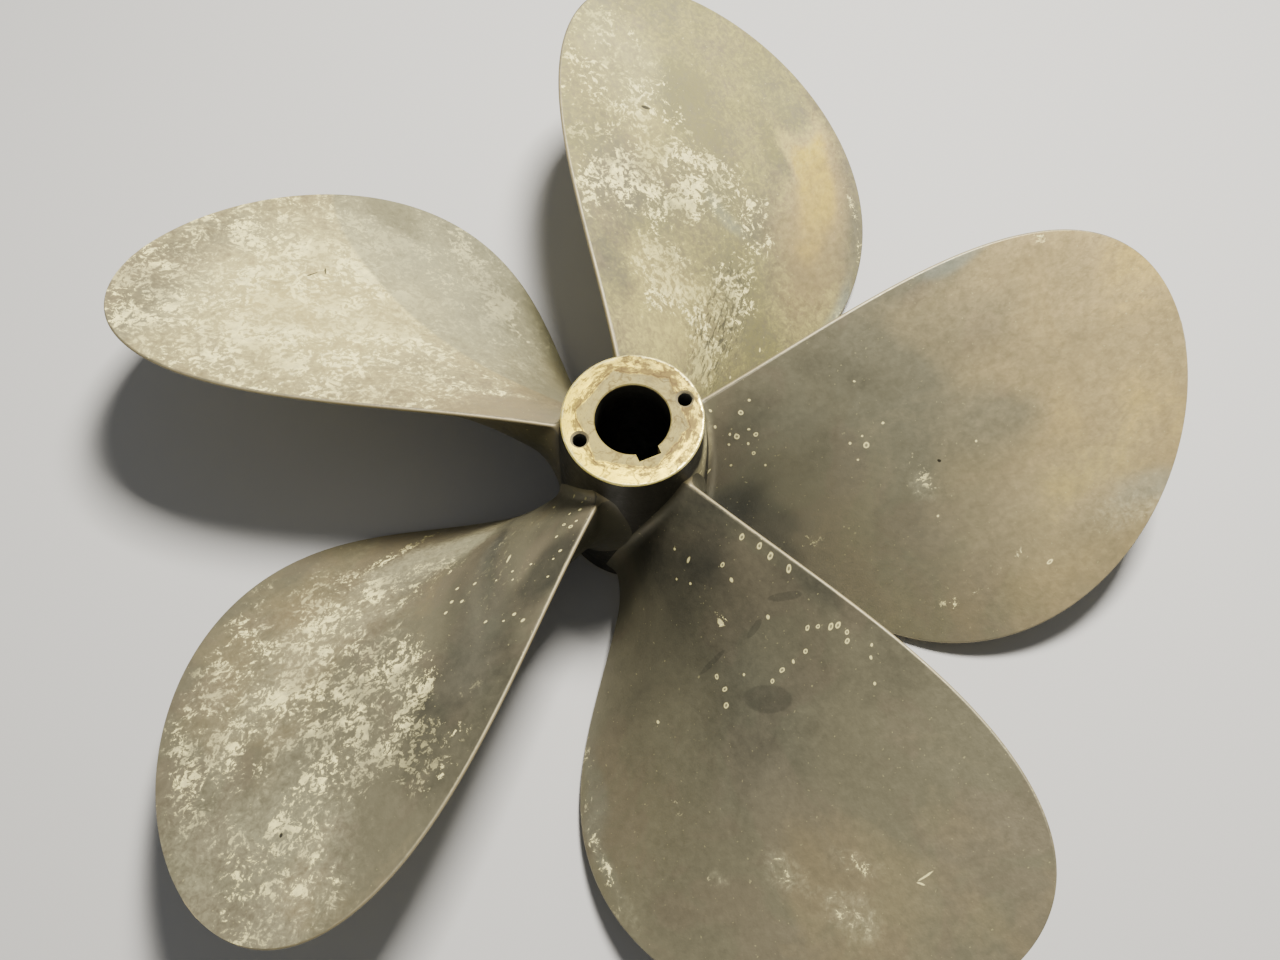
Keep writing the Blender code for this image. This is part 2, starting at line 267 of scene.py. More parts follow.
# Tone and film of the hub's side, and how far out a soft mark fades, in its own sizes
# Painted shade: this tone darkens the whole side of the hub to its shade colour
HUB_SIDE_SHADE = -1.1
HUB_SIDE_FILM = 0.04
MARK_REACH = 1.5

# Print of the shaft's nut on the aft end: turn of its flats, and half the width over them.
# The turned ends are painted brighter towards one side, a painted highlight.
NUT_TURN = 58.0
NUT_HALF = 0.0337
PAINTED_HIGHLIGHT_SIDE = (-19.1, -7.7, 0.0)

# Height of the bumps on each kind of surface, the width worn bare along its edges, and
# how deep the light reaches into the bore's mouth
CAST_RELIEF, TURNED_RELIEF, BORED_RELIEF = 0.00035, 0.00012, 0.0002
CAST_WEAR, TURNED_WEAR, BORED_WEAR = 0.0010, 0.0022, 0.0025
MOUTH_DEPTH = 0.024

# Studio: the floor's size and gap, the sky, and the lamps with their place, power in
# watts, size and tint
FLOOR_HALF = 8.0
FLOOR_GAP = 0.0004
FLOOR_ROUGHNESS = 0.85
SKY_TINT = (0.95, 0.97, 1.0, 1.0)
SKY_STRENGTH = 0.18
LAMPS = (
    ("key", (0.62, 0.46, 1.75), 104.0, 0.40, (1.0, 0.965, 0.89)),
    ("fill", (-2.0, -1.5, 2.2), 3.0, 2.5, (0.92, 0.96, 1.0)),
)

# Where the photograph was taken from, in metres and degrees
CAMERA_AT = (-0.1263, -0.3325, 0.9254)
CAMERA_TURN = (22.27, 0.59, -22.87)
CAMERA_LENS = 35.06


def length(name, description, default, **more):
    """A size property in metres."""
    return FloatProperty(name=name, description=description, default=default,
                         unit="LENGTH", precision=4, **more)


def colour(name, description, default):
    """A colour property, in linear light."""
    return FloatVectorProperty(name=name, description=description, default=default,
                               subtype="COLOR", size=3, min=0.0, max=1.0)


class PropellerSizes(PropertyGroup):
    """Sizes of the propeller."""

    diameter: length("Diameter", "Across the blade tips", 0.8254)
    blades: IntProperty(name="Blades", description="Number of blades", default=5, min=2)
    hub_length: length("Hub length", "Along the shaft", HUB_LENGTH)
    hub_aft: length("Aft hub radius", "Outside radius of the machined end", 0.0488)
    hub_forward: length("Forward hub radius", "Outside radius at the floor", 0.058)
    hub_belly: length("Hub belly", "How far the cone swells at its middle", 0.002)
    hub_bevel: length("Hub bevel", "Broken edge of the machined end", 0.0012)
    bore_aft: length("Aft bore radius", "Narrow end of the tapered bore", 0.0258)
    bore_taper: FloatProperty(name="Bore taper", description="Change of diameter per length",
                              default=1 / 16, precision=4)
    key_width: length("Keyway width", "Across the slot", 0.016)
    key_depth: length("Keyway depth", "From the bore's wall", 0.0062)
    puller_circle: length("Puller hole circle", "Radius of the circle of holes", 0.0384)
    puller_hole: length("Puller hole radius", "Inside the thread", 0.0052)
    puller_mouth: length("Puller mouth radius", "At the countersink", 0.0062)
    puller_depth: length("Puller hole depth", "From the aft face", 0.022)
    root_thickness: length("Root thickness", "Thickest part of the blade at the hub", 0.030)
    tip_thickness: length("Tip thickness", "Thickness at the tip", 0.0045)
    edge_thickness: length("Edge thickness", "Thickness at the edges", 0.003)
    face_bulge: length("Face bulge", "Swell of the pressure face at the hub", 0.012)
    root_fillet: length("Back fillet", "Radius between the blade's back and the hub", 0.020)
    face_fillet: length("Face fillet", "Radius between the pressure face and the hub", 0.006)
    trail_fillet: length("Trailing fillet", "Radius where the trailing edge meets the hub", 0.004)
    lead_flare: length("Leading flare", "Radius where the leading edge meets the hub", 0.046)
    lead_reach: length("Leading reach", "How far that flare runs along the hub", 0.030)


class PropellerColours(PropertyGroup):
    """Colours of the finishes, in linear light."""

    bronze: colour("Oxidised bronze", "Main colour of the blades", (0.232, 0.212, 0.134))
    tan: colour("Warm bronze", "Where the oxide is thin", (0.480, 0.366, 0.164))
    ochre: colour("Ochre", "Brightest of the warm patches", (0.800, 0.600, 0.030))
    umber: colour("Umber oxide", "Brownish patches of the oxide", (0.250, 0.200, 0.134))
    # Also the painted light near the bore's aft mouth, over its painted shade
    dark: colour("Dark oxide", "Near the hub and in stains", (0.062, 0.061, 0.046))
    # Painted shade: the near-black colour that the hub's side is painted in
    grime: colour("Grime", "Greasy dirt on the hub's side", (0.034, 0.031, 0.022))
    film_grey: colour("Grey film", "Thin deposit over the oxide", (0.325, 0.309, 0.183))
    film_olive: colour("Olive film", "The same, greener", (0.215, 0.196, 0.062))
    film_pale: colour("Pale film", "The same, thicker", (0.490, 0.440, 0.245))
    film_khaki: colour("Khaki film", "The same, on the top blade", (0.540, 0.480, 0.140))
    film_warm: colour("Warm film", "The same, yellower", (0.630, 0.565, 0.235))
    chalk: colour("Chalk", "Dried pale deposit", (0.660, 0.600, 0.290))
    chalk_light: colour("Light chalk", "Its palest flakes", (1.000, 0.900, 0.380))
    verdigris: colour("Verdigris", "Blue-green corrosion", (0.320, 0.410, 0.370))
    worn: colour("Worn edge", "Bare metal along the edges", (0.330, 0.275, 0.150))
    machined: colour("Machined brass", "The hub's turned end", (0.840, 0.650, 0.050))
    pressed: colour("Nut print", "Paler brass where the shaft nut sat", (0.230, 0.205, 0.115))
    stain: colour("Brown stain", "Old grease on the turned end", (0.085, 0.050, 0.018))
    # Painted shade: the walls of the bore and holes are painted near black; the nicks share it
    bore: colour("Bore", "Greased walls of the bore", (0.012, 0.011, 0.009))
    floor: colour("Floor", "Studio floor", (0.520, 0.516, 0.508))


def through(values, share):
    """Smooth curve through the values given at the four stations."""
    total = 0.0
    for i, value in enumerate(values):
        term = value
        for j, other in enumerate(STATIONS):
            if j != i:
                term = term * (share - other) / (STATIONS[i] - other)
        total = total + term
    return total


def hub_radius(sizes, height):
    """Outside radius of the hub at a height, limited to its two ends."""
    along = np.clip(height / sizes.hub_length, 0.0, 1.0)
    straight = sizes.hub_forward + (sizes.hub_aft - sizes.hub_forward) * along
    return straight + sizes.hub_belly * 4 * along * (1 - along)


def bore_radius(sizes, height):
    """Radius of the tapered bore at a height."""
    return sizes.bore_aft + (sizes.hub_length - height) * sizes.bore_taper / 2


def arc(distance, radius):
    """Offset of a quarter circle that is tangent to the blade at one radius from the hub."""
    gap = np.maximum(radius - distance, 0.0)
    return radius - np.sqrt(radius ** 2 - gap ** 2)


def outline():
    """Place along the chord and normal of each column of a section.

    The columns run over the pressure face from the leading edge, and back behind it.
    """
    steps = -np.cos(np.linspace(0, np.pi, CHORD_CELLS + 1))
    turns = np.radians(np.linspace(90, -90, EDGE_BENDS + 2)[1:-1])
    c, s = np.cos(turns), np.sin(turns)
    flat, one = np.zeros(CHORD_CELLS + 1), np.ones(CHORD_CELLS + 1)
    place = np.concatenate((steps, one[:EDGE_BENDS], -steps, -one[:EDGE_BENDS]))
    normal_along = np.concatenate((flat, c, flat, -c[::-1]))
    normal_off = np.concatenate((one, s, -one, s[::-1]))
    return place, normal_along, normal_off


def section(sizes, radius, columns):
    """Points of the blade at the given radii, one for each column.

    Also gives how far each point lies along the chord and from the nearest edge, and its
    share of the tip radius.
    """
    place, normal_along, normal_off = columns
    tip = sizes.diameter / 2
    share = radius / tip
    pitch = through(PITCH, share)
    slant = np.arctan2(pitch, 2 * np.pi * radius)
    half = through(CHORD, share) / 2 * np.sqrt(1 - np.minimum(share, LAST_SHARE) ** TIP_FULLNESS)
    nose = sizes.edge_thickness / 2
    inward = (1 - share) / (1 - STATIONS[0])
    thick = sizes.tip_thickness + (sizes.root_thickness - sizes.tip_thickness) * inward
    spare = np.maximum(thick - 2 * nose, 0.0)
    bulge = (sizes.face_bulge * np.maximum(1 - share / FACE_BULGE_END, 0.0)
             / (1 - STATIONS[0] / FACE_BULGE_END))
    along = (half - nose) * place + nose * normal_along
    at = np.clip(along / half, -1.0, 1.0)
    round_off = 1 - at ** 2
    face = bulge * round_off
    back = -2 * nose - spare * np.where(at > 0, round_off ** BACK_TAPER, round_off)
    bend = nose * normal_off - nose
    off = np.where(normal_off >= 1, face, np.where(normal_off <= -1, back, bend))

    middle = np.radians(through(SKEW_DEGREES, share))
    height = sizes.hub_length / 2 + through(HEIGHT, share) + middle * pitch / (2 * np.pi)

    def turned(along, off):
        angle = middle + (along * np.cos(slant) - off * np.sin(slant)) / radius
        return angle, height + along * np.sin(slant) + off * np.cos(slant)

    level = turned(along, off)[1]
    trim = arc(sizes.lead_reach, sizes.lead_flare)
    for _ in range(FLARE_ROUNDS):
        distance = np.maximum(radius - hub_radius(sizes, level), 0.0)
        lead = arc(distance + trim, sizes.lead_flare) * ((1 - at) / 2) ** LEAD_POWER
        trail = arc(distance, sizes.trail_fillet) * ((1 + at) / 2) ** TRAIL_POWER
        above = arc(distance, sizes.face_fillet)
        below = arc(distance, sizes.trail_fillet + (sizes.root_fillet - sizes.trail_fillet)
                    * np.maximum(round_off, 0.0) ** 0.5)
        spread = np.where(normal_off > 0, above, below) * normal_off
        angle, level = turned(along - lead + trail, off + spread)
    points = np.stack((radius * np.cos(angle), radius * np.sin(angle), level), axis=-1)
    edge_gap = np.maximum(np.minimum(half - np.abs(along), tip - radius), 0.0)
    return points, along, edge_gap, share


def blade_rings(sizes):
    """Grid of points from inside the hub to the tip, with its finish coordinates.

    Near the hub a row keeps its distance from the hub's cone, so the root meets the
    cone along a clean line. Further out a row has one radius.
    """
    columns = outline()
    count = len(columns[0])
    flare = sizes.lead_flare * (1 - np.cos(np.linspace(0, np.pi / 2, ROOT_ROWS)))
    away = np.concatenate((ROOT_SINKS, flare))[:, None]
    share = np.clip(away / sizes.lead_flare, 0.0, 1.0)
    blend = share * share * (3 - 2 * share)
    waist = (sizes.hub_aft + sizes.hub_forward) / 2
    radius = waist + away + np.zeros((1, count))
    for _ in range(CONE_ROUNDS):
        points = section(sizes, radius, columns)[0]
        cone = hub_radius(sizes, points[..., 2])
        radius = away + cone * (1 - blend) + waist * blend
    tip, first = sizes.diameter / 2, waist + sizes.lead_flare
    rest = 1 - np.linspace(0, 1, SPAN_ROWS)[1:, None]
    outer = tip - (tip - first) * rest ** SPAN_CROWDING + np.zeros((1, count))
    on_face = np.zeros((len(radius) + len(outer), count))
    on_face[:, :CHORD_CELLS + 1] = 1.0
    return (*section(sizes, np.vstack((radius, outer)), columns), on_face)


def grid_faces(rows, columns):
    """Quads of a grid whose rows close on themselves."""
    i, j = np.meshgrid(np.arange(rows - 1), np.arange(columns), indexing="ij")
    k = (j + 1) % columns
    corners = (i * columns + j, i * columns + k, (i + 1) * columns + k, (i + 1) * columns + j)
    return np.stack(corners, axis=-1).reshape(-1, 4).tolist()


def mesh_from(name, points, faces):
    """A smooth mesh that keeps its sharper creases."""
    mesh = bpy.data.meshes.new(name)
    mesh.from_pydata(points.reshape(-1, 3).tolist(), [], faces)
    bm = bmesh.new()
    bm.from_mesh(mesh)
    bmesh.ops.recalc_face_normals(bm, faces=bm.faces)
    bm.to_mesh(mesh)
    bm.free()
    mesh.shade_smooth()
    mesh.set_sharp_from_angle(angle=math.radians(CREASE))
    return mesh


def put_attributes(mesh, values_by_name):
    """Stores numbers on the mesh's vertices, for its material to read."""
    for name, values in values_by_name.items():
        attribute = mesh.attributes.new(name, "FLOAT", "POINT")
        attribute.data.foreach_set("value", np.asarray(values, dtype=float).ravel())


def placed(name, data):
    """A new object in the scene."""
    made = bpy.data.objects.new(name, data)
    bpy.context.scene.collection.objects.link(made)
    return made


def show(name, mesh, *materials):
    """Adds a piece of the propeller to the scene and lets it ride on the CAD body."""
    piece = placed(name, mesh)
    for material in materials:
        mesh.materials.append(material)
    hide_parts(NODE)
    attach(piece, BODY)


def warped(out, along, place, reach):
    """The plan coordinates, shifted by a slow noise so that no mark is a neat oval."""
    noise.seed_set(WANDER_SEED)
    moved = np.array([
        noise.noise_vector(Vector((a * WANDER_WAVES, b * WANDER_WAVES, place)))[:2]
        for a, b in zip(out.ravel(), along.ravel())])
    shift_out, shift_along = (reach * moved[:, side].reshape(out.shape) for side in (0, 1))
    return out + shift_out, along + shift_along


def painted(out, along, marks, start=0.0):
    """Strength of a finish, from soft oval marks laid over one another."""
    value = np.full(out.shape, start)
    for far, across, long, wide, strength, *turn in marks:
        c, s = math.cos(math.radians(sum(turn))), math.sin(math.radians(sum(turn)))
        du, dv = out * MM - far, along * MM - across
        away = np.hypot((du * c + dv * s) / long, (dv * c - du * s) / wide)
        soft = np.clip(MARK_REACH - away, 0.0, 1.0)
        soft = soft * soft * (3 - 2 * soft)
        value += (strength / 100 - value) * soft
    return value


def tip_faces(rows, columns):
    """Faces that close the tip: a strip between face and back, and a fan at either edge."""
    last = (rows - 1) * columns
    back = last + 2 * (CHORD_CELLS + 1) + EDGE_BENDS - 1
    strip = [(last + i, last + i + 1, back - i - 1, back - i) for i in range(CHORD_CELLS)]
    trailing = tuple(last + CHORD_CELLS + i for i in range(EDGE_BENDS + 2))
    leading = tuple(back + i for i in range(EDGE_BENDS + 1)) + (last,)
    return strip + [trailing, leading]


def blade_mesh(sizes, index):
    """One blade turned to its place, with its deposits and tones painted on."""
    points, along, edge_gap, share, on_face = blade_rings(sizes)
    rows, columns = along.shape
    turn = 2 * np.pi * index / sizes.blades
    x = points[..., 0] * np.cos(turn) - points[..., 1] * np.sin(turn)
    y = points[..., 0] * np.sin(turn) + points[..., 1] * np.cos(turn)
    points = np.stack((x, y, points[..., 2]), axis=-1)
    mesh = mesh_from(f"blade_{index + 1}", points,
                     grid_faces(rows, columns) + tip_faces(rows, columns))

    out = share * sizes.diameter / 2
    plan = warped(out, along, index * BLADE_WANDER_STEP, BLADE_WANDER)
    which = index % len(FLAKES)
    marks = {"flakes": (FLAKES[which], BACK_FLAKES), "film": (FILM[which], BACK_FILM),
             "tone": (TONE[which], BACK_TONE), "green": (GREEN[which], ()),
             "pits": (PITS.get(which, ()), ())}
    put_attributes(mesh, {
        **{name: np.where(on_face > 0, painted(*plan, front), painted(*plan, back))
           for name, (front, back) in marks.items()},
        "out": out, "along": along, "edge_gap": edge_gap, "on_face": on_face})
    return mesh


def turned_mesh(name, profile, steps):
    """Closed surface turned from (radius, height) points that start and end on the axis."""
    inner = profile[1:-1]
    angles = np.linspace(0, 2 * np.pi, steps, endpoint=False)
    ring = np.stack((np.cos(angles), np.sin(angles)), axis=-1)
    points = [(r * c, r * s, z) for r, z in inner for c, s in ring]
    faces = grid_faces(len(inner), steps)
    top, bottom = len(points), len(points) + 1
    points += [(0.0, 0.0, profile[0][1]), (0.0, 0.0, profile[-1][1])]
    last = (len(inner) - 1) * steps
    for i in range(steps):
        j = (i + 1) % steps
        faces += [(top, j, i), (bottom, last + i, last + j)]
    return mesh_from(name, np.array(points), faces)


def hub_profile(sizes):
    """Outside of the hub, from the middle of its aft end to the middle of its forward end."""
    rim, bevel, top = sizes.hub_aft, sizes.hub_bevel, sizes.hub_length
    profile = [(0.0, top), (rim - bevel, top)]
    for i in range(1, HUB_BEVEL_ROWS + 1):
        a = math.radians(90 * i / HUB_BEVEL_ROWS)
        profile.append((rim - bevel * (1 - math.sin(a)), top - bevel * (1 - math.cos(a))))
    for i in range(1, HUB_ROWS + 1):
        z = (top - bevel) * (1 - i / HUB_ROWS) + bevel * i / HUB_ROWS
        profile.append((float(hub_radius(sizes, z)), z))
    return profile + [(sizes.hub_forward - bevel, 0.0), (0.0, 0.0)]


def bore_profile(sizes):
    """Tapered bore with broken edges, reaching past both ends of the hub."""
    top = sizes.hub_length
    heights = [top - row for row in BORE_ROWS] + [top / 2, *reversed(BORE_ROWS)]
    widen = BORE_BEVEL + CUT_SPARE
    return [(0.0, top + CUT_SPARE), (sizes.bore_aft + widen, top + CUT_SPARE),
            *((bore_radius(sizes, z), z) for z in heights),
            (bore_radius(sizes, 0.0) + widen, -CUT_SPARE), (0.0, -CUT_SPARE)]


def puller_profile(sizes):
    """Tapped hole: a countersunk mouth, rings for the thread and a drill point."""
    inner, top = sizes.puller_hole, sizes.hub_length
    z = top - (sizes.puller_mouth - inner)
    profile = [(0.0, top + CUT_SPARE), (sizes.puller_mouth + CUT_SPARE, top + CUT_SPARE),
               (inner + THREAD_RISE, z)]
    while z > top - sizes.puller_depth + THREAD_PITCH:
        profile += [(inner + side * THREAD_RISE, z - THREAD_PITCH * down)
                    for down, side in THREAD_SHAPE]
        z -= THREAD_PITCH
    bottom = z - THREAD_PITCH
    return profile + [(inner, bottom), (0.0, bottom - inner * PULLER_POINT)]


def key_mesh(sizes):
    """Block that cuts the keyway, following the bore's taper."""
    bm = bmesh.new()
    rings = []
    for z in (-CUT_SPARE, sizes.hub_length + CUT_SPARE):
        wall, half = bore_radius(sizes, z), sizes.key_width / 2
        far, near = math.sqrt(wall ** 2 - half ** 2) + sizes.key_depth, wall / 2
        rings.append([bm.verts.new((x, y, z)) for x, y in (
            (-half, -far), (half, -far), (half, -near), (-half, -near))])
        bm.faces.new(rings[-1])
    for i in range(4):
        j = (i + 1) % 4
        bm.faces.new((rings[0][i], rings[0][j], rings[1][j], rings[1][i]))
    bmesh.ops.recalc_face_normals(bm, faces=bm.faces)
    mesh = bpy.data.meshes.new("keyway")
    bm.to_mesh(mesh)
    bm.free()
    return mesh


def bored(hub, cutters):
    """The hub's mesh with the cutters' shapes taken out. All these objects are deleted."""
    for cutter in cutters:
        modifier = hub.modifiers.new("Cut", "BOOLEAN")
        modifier.object, modifier.operation, modifier.solver = cutter, "DIFFERENCE", "EXACT"
    graph = bpy.context.evaluated_depsgraph_get()
    mesh = bpy.data.meshes.new_from_object(hub.evaluated_get(graph))
    for tool in (*cutters, hub):
        data = tool.data
        bpy.data.objects.remove(tool, do_unlink=True)
        bpy.data.meshes.remove(data)
    mesh.name = "hub"
    mesh.shade_smooth()
    mesh.set_sharp_from_angle(angle=math.radians(HUB_CREASE))
    return mesh


def assign_slots(mesh, sizes):
    """Gives each hub face its finish: oxidised side and holes in painted shade, turned ends."""
    top, bevel = sizes.hub_length, sizes.hub_bevel
    waist = (sizes.hub_aft + bore_radius(sizes, top / 2)) / 2
    for face in mesh.polygons:
        x, y, z = face.center
        level = abs(face.normal.z) > FLAT_NORMAL
        outer = math.hypot(x, y) > waist and not level
        from_hole = min(math.hypot(x - side * sizes.puller_circle, y) for side in PULLER_SIDES)
        in_hole = (from_hole < sizes.puller_mouth + HOLE_RIM
                   and z > top - sizes.puller_depth - HOLE_POINT)
        if not in_hole and level and not END_BAND <= z <= top - END_BAND:
            slot = TURNED
        elif not in_hole and outer:
            slot = OXIDISED if bevel <= z <= top - bevel else TURNED
        else:
            slot = BORED
        face.material_index = slot


def hub_mesh(sizes):
    """The hub with its bore, keyway and puller holes, with chalk, film, painted shade and
    highlights.
    """
    hub = placed("hub", turned_mesh("hub", hub_profile(sizes), HUB_STEPS))
    cutters = [placed("bore", turned_mesh("bore", bore_profile(sizes), HUB_STEPS)),
               placed("keyway", key_mesh(sizes))]
    for side in PULLER_SIDES:
        hole = turned_mesh("puller_hole", puller_profile(sizes), PULLER_STEPS)
        cutters.append(placed("puller_hole", hole))
        cutters[-1].location.x = side * sizes.puller_circle
    mesh = bored(hub, cutters)
    assign_slots(mesh, sizes)

    points = np.empty(len(mesh.vertices) * 3)
    mesh.vertices.foreach_get("co", points)
    x, y, height = points.reshape(-1, 3).T
    plan = warped(height, np.arctan2(y, x) * sizes.hub_aft, HUB_WANDER_PLACE, HUB_WANDER)
    none = np.zeros(len(height))
    put_attributes(mesh, {
        # Tone: painted shade over the side, lifted by painted highlights beside the blade roots
        "flakes": painted(*plan, HUB_FLAKES), "film": painted(*plan, HUB_FILM_AND_HIGHLIGHTS, HUB_SIDE_FILM),
        "tone": painted(*plan, HUB_TONE_AND_HIGHLIGHTS, HUB_SIDE_SHADE), "green": none, "out": none,
        "along": none, "on_face": none,
        "edge_gap": np.minimum(sizes.hub_length - height, height),
        "rim_gap": np.abs(sizes.hub_aft - np.hypot(x, y)),
        "aft_end": height > sizes.hub_length / 2,
    })
    return mesh


class Tree:
    """Short way of writing node trees."""

    def __init__(self, tree):
        self.tree = tree

    def feed(self, socket, value):
        """Links a socket to another one or gives it a value."""
        if isinstance(value, NodeSocket):
            self.tree.links.new(value, socket)
        elif value is not None:
            socket.default_value = value

    def node(self, kind, *values, **settings):
        """A new node with its settings made and its inputs fed in their order."""
        made = self.tree.nodes.new(kind)
        for key, value in settings.items():
            setattr(made, key, value)
        for socket, value in zip(made.inputs, values):
            self.feed(socket, value)
        return made

    def math(self, operation, *values, clamp=False):
        return self.node("ShaderNodeMath", *values, operation=operation,
                         use_clamp=clamp).outputs[0]

    def times(self, a, b):
        return self.math("MULTIPLY", a, b)

    def minus(self, a, b):
        return self.math("SUBTRACT", a, b)

    def most(self, a, b):
        return self.math("MAXIMUM", a, b)

    def sum_of(self, a, share, b):
        """A share of one value added to another."""
        return self.math("MULTIPLY_ADD", a, share, b)

    def vector(self, operation, *values):
        made = self.node("ShaderNodeVectorMath", *values, operation=operation)
        return made.outputs["Value" if operation in ("LENGTH", "DOT_PRODUCT") else "Vector"]

    def noise(self, vector, scale, detail=4.0, rough=0.55, warp=0.0, output="Fac"):
        made = self.node("ShaderNodeTexNoise", vector, None, scale, detail, rough)
        self.feed(made.inputs["Distortion"], warp)
        return made.outputs[output]

    def shift(self, vector, scale, detail, rough, reach):
        """A noise that moves things either way, by half of the reach at most."""
        middle = self.noise(vector, scale, detail, rough, output="Color")
        return self.vector("MULTIPLY", self.vector("SUBTRACT", middle, (0.5, 0.5, 0.5)), reach)

    def remap(self, *values, smooth=False):
        """A value taken from one range, low to high, to another, 0 to 1 if none is given."""
        return self.node("ShaderNodeMapRange", *values,
                         interpolation_type="SMOOTHSTEP" if smooth else "LINEAR").outputs[0]

    def ease(self, *values):
        return self.remap(*values, smooth=True)

    def near(self, value, middle, width):
        """One where a value meets the middle, fading to nothing a width away."""
        return self.ease(self.math("ABSOLUTE", self.minus(value, middle)), width, 0.0)

    def layers(self, base, *layers):
        """A colour with others laid over it in turn, each at its strength."""
        for strength, top in layers:
            made = self.node("ShaderNodeMix", strength, data_type="RGBA")
            for socket, tint in zip(made.inputs[6:8], (base, top)):
                self.feed(socket, tint if isinstance(tint, NodeSocket) else (*tint, 1.0))
            base = made.outputs[2]
        return base

    def levels(self, base, *levels):
        """A number with others taking its place in turn, each at its strength."""
        for strength, top in levels:
            base = self.node("ShaderNodeMix", strength, None, base, top).outputs[0]
        return base

    def attribute(self, name):
        return self.node("ShaderNodeAttribute", attribute_name=name).outputs["Fac"]

    def join(self, x, y, z=0.0):
        return self.node("ShaderNodeCombineXYZ", x, y, z).outputs[0]

    def place(self):
        return self.node("ShaderNodeTexCoord").outputs["Object"]

    def use(self, build, **values):
        """The outputs of a node group, built once, with its inputs set by name."""
        group = bpy.data.node_groups.get(build.__name__) or build()
        made = self.node("ShaderNodeGroup", node_tree=group)
        for name, value in values.items():
            self.feed(made.inputs[name.capitalize()], value)
        return made.outputs


def new_group(name, inputs, outputs):
    """An empty node group with named sockets: its tree, its inputs and its outputs."""
    tree = bpy.data.node_groups.new(name, "ShaderNodeTree")
    tree.interface.new_socket("Vector", in_out="INPUT", socket_type="NodeSocketVector")
    for entry, default in inputs:
        socket = tree.interface.new_socket(entry, in_out="INPUT", socket_type="NodeSocketFloat")
        socket.default_value = default
    for entry in outputs:
        tree.interface.new_socket(entry, in_out="OUTPUT", socket_type="NodeSocketFloat")
    made = Tree(tree)
    return made, made.node("NodeGroupInput").outputs, made.node("NodeGroupOutput").inputs


def cast_grain():
    """Clouds, fine mottle and the skin of sand-cast, hand-ground bronze."""
    t, given, out = new_group("cast_grain", (("Coarseness", 1),),
                              ("Clouds", "Mottle", "Warmth", "Specks", "Height"))
    at = given["Vector"]
    t.feed(out["Clouds"], t.ease(t.noise(at, 11, 4, 0.6, 0.8), 0.32, 0.68))
    t.feed(out["Mottle"], t.remap(t.noise(at, 160, 4, 0.65, 0.4), 0.3, 0.7))
    t.feed(out["Warmth"], t.ease(t.noise(at, 13, 3, 0.55, 1.2), 0.47, 0.58))
    t.feed(out["Specks"], t.remap(t.noise(at, 430, 1, 0.5), 0.735, 0.785))
    waves, dents = t.noise(at, 16, 1, 0.4), t.noise(at, 90, 2, 0.5)
    pores = t.noise(at, 420, 2, 0.6)
    fine = t.times(t.sum_of(dents, 0.5, t.times(pores, 0.30)), given["Coarseness"])
    t.feed(out["Height"], t.sum_of(waves, 5, fine))
    return t.tree


def chalk_deposit():
    """Dried pale film with crisp lacy flakes, closer together where its density is higher."""
    t, given, out = new_group("chalk_deposit", (("Density", 0), ("Film", 0)),
                              ("Flakes", "Film", "Grain", "Height"))
    at, density = given["Vector"], given["Density"]
    bent = t.vector("ADD", at, t.shift(at, 60, 2, 0.6, (0.014, 0.014, 0.014)))
    coarse, fine = t.noise(bent, 42, 4, 0.65), t.noise(bent, 230, 5, 0.72)
    field = t.sum_of(fine, 0.60, t.times(coarse, 0.40))
    limit = t.remap(density, 0, 1, 0.605, 0.395)
    flakes = t.ease(t.minus(field, limit), -0.006, 0.028)
    flakes = t.times(flakes, t.remap(density, 0.03, 0.22))
    flakes = t.times(flakes, t.ease(t.noise(at, 24, 3, 0.6), 0.40, 0.60, 0.30, 1))
    t.feed(out["Flakes"], flakes)
    t.feed(out["Grain"], fine)
    veil = t.ease(t.sum_of(t.minus(field, 0.5), 2.6, given["Film"]), 0, 1)
    t.feed(out["Film"], t.times(veil, t.remap(given["Film"], 0, 0.3)))
    t.feed(out["Height"], t.times(flakes, t.remap(fine, 0.3, 0.7, 0.5, 1)))
    return t.tree


def edge_wear():
    """Bare metal along an edge, from the distance to it, broken up where it was knocked."""
    t, given, out = new_group("edge_wear", (("Gap", 1), ("Width", 0.001)), ("Wear",))
    broken = t.remap(t.noise(given["Vector"], 95, 5, 0.7), 0.34, 0.66, 0.25, 1.7)
    reach = t.times(given["Width"], broken)
    t.feed(out["Wear"], t.ease(t.minus(1, t.math("DIVIDE", given["Gap"], reach)), 0, 0.5))
    return t.tree


def nearest(tree, plan, marks):
    """Distance to the nearest of a few marks, in shares of that mark's own size."""
    found = None
    for far, across, long, wide, *turn in marks:
        mapping = tree.node(
            "ShaderNodeMapping", plan, (far / MM, across / MM, 0),
            (0, 0, math.radians(sum(turn))), (long / MM, wide / MM, 1),
            vector_type="TEXTURE")
        away = tree.vector("LENGTH", mapping.outputs["Vector"])
        found = away if found is None else tree.math("MINIMUM", found, away)
    return found


def new_material(name):
    """A new material: itself, its tree and its shader."""
    material = bpy.data.materials.new(name)
    material.use_nodes = True
    tree = material.node_tree
    return material, Tree(tree), next(n for n in tree.nodes if n.type == "BSDF_PRINCIPLED")


def begin(name, coarseness, gap, width):
    """A new metal finish: its material, tree, shader, place, cast grain and worn edges."""
    material, t, shader = new_material(name)
    at = t.place()
    grain = t.use(cast_grain, vector=at, coarseness=coarseness)
    wear = t.use(edge_wear, vector=at, gap=t.attribute(gap), width=width)["Wear"]
    return material, t, shader, at, grain, wear


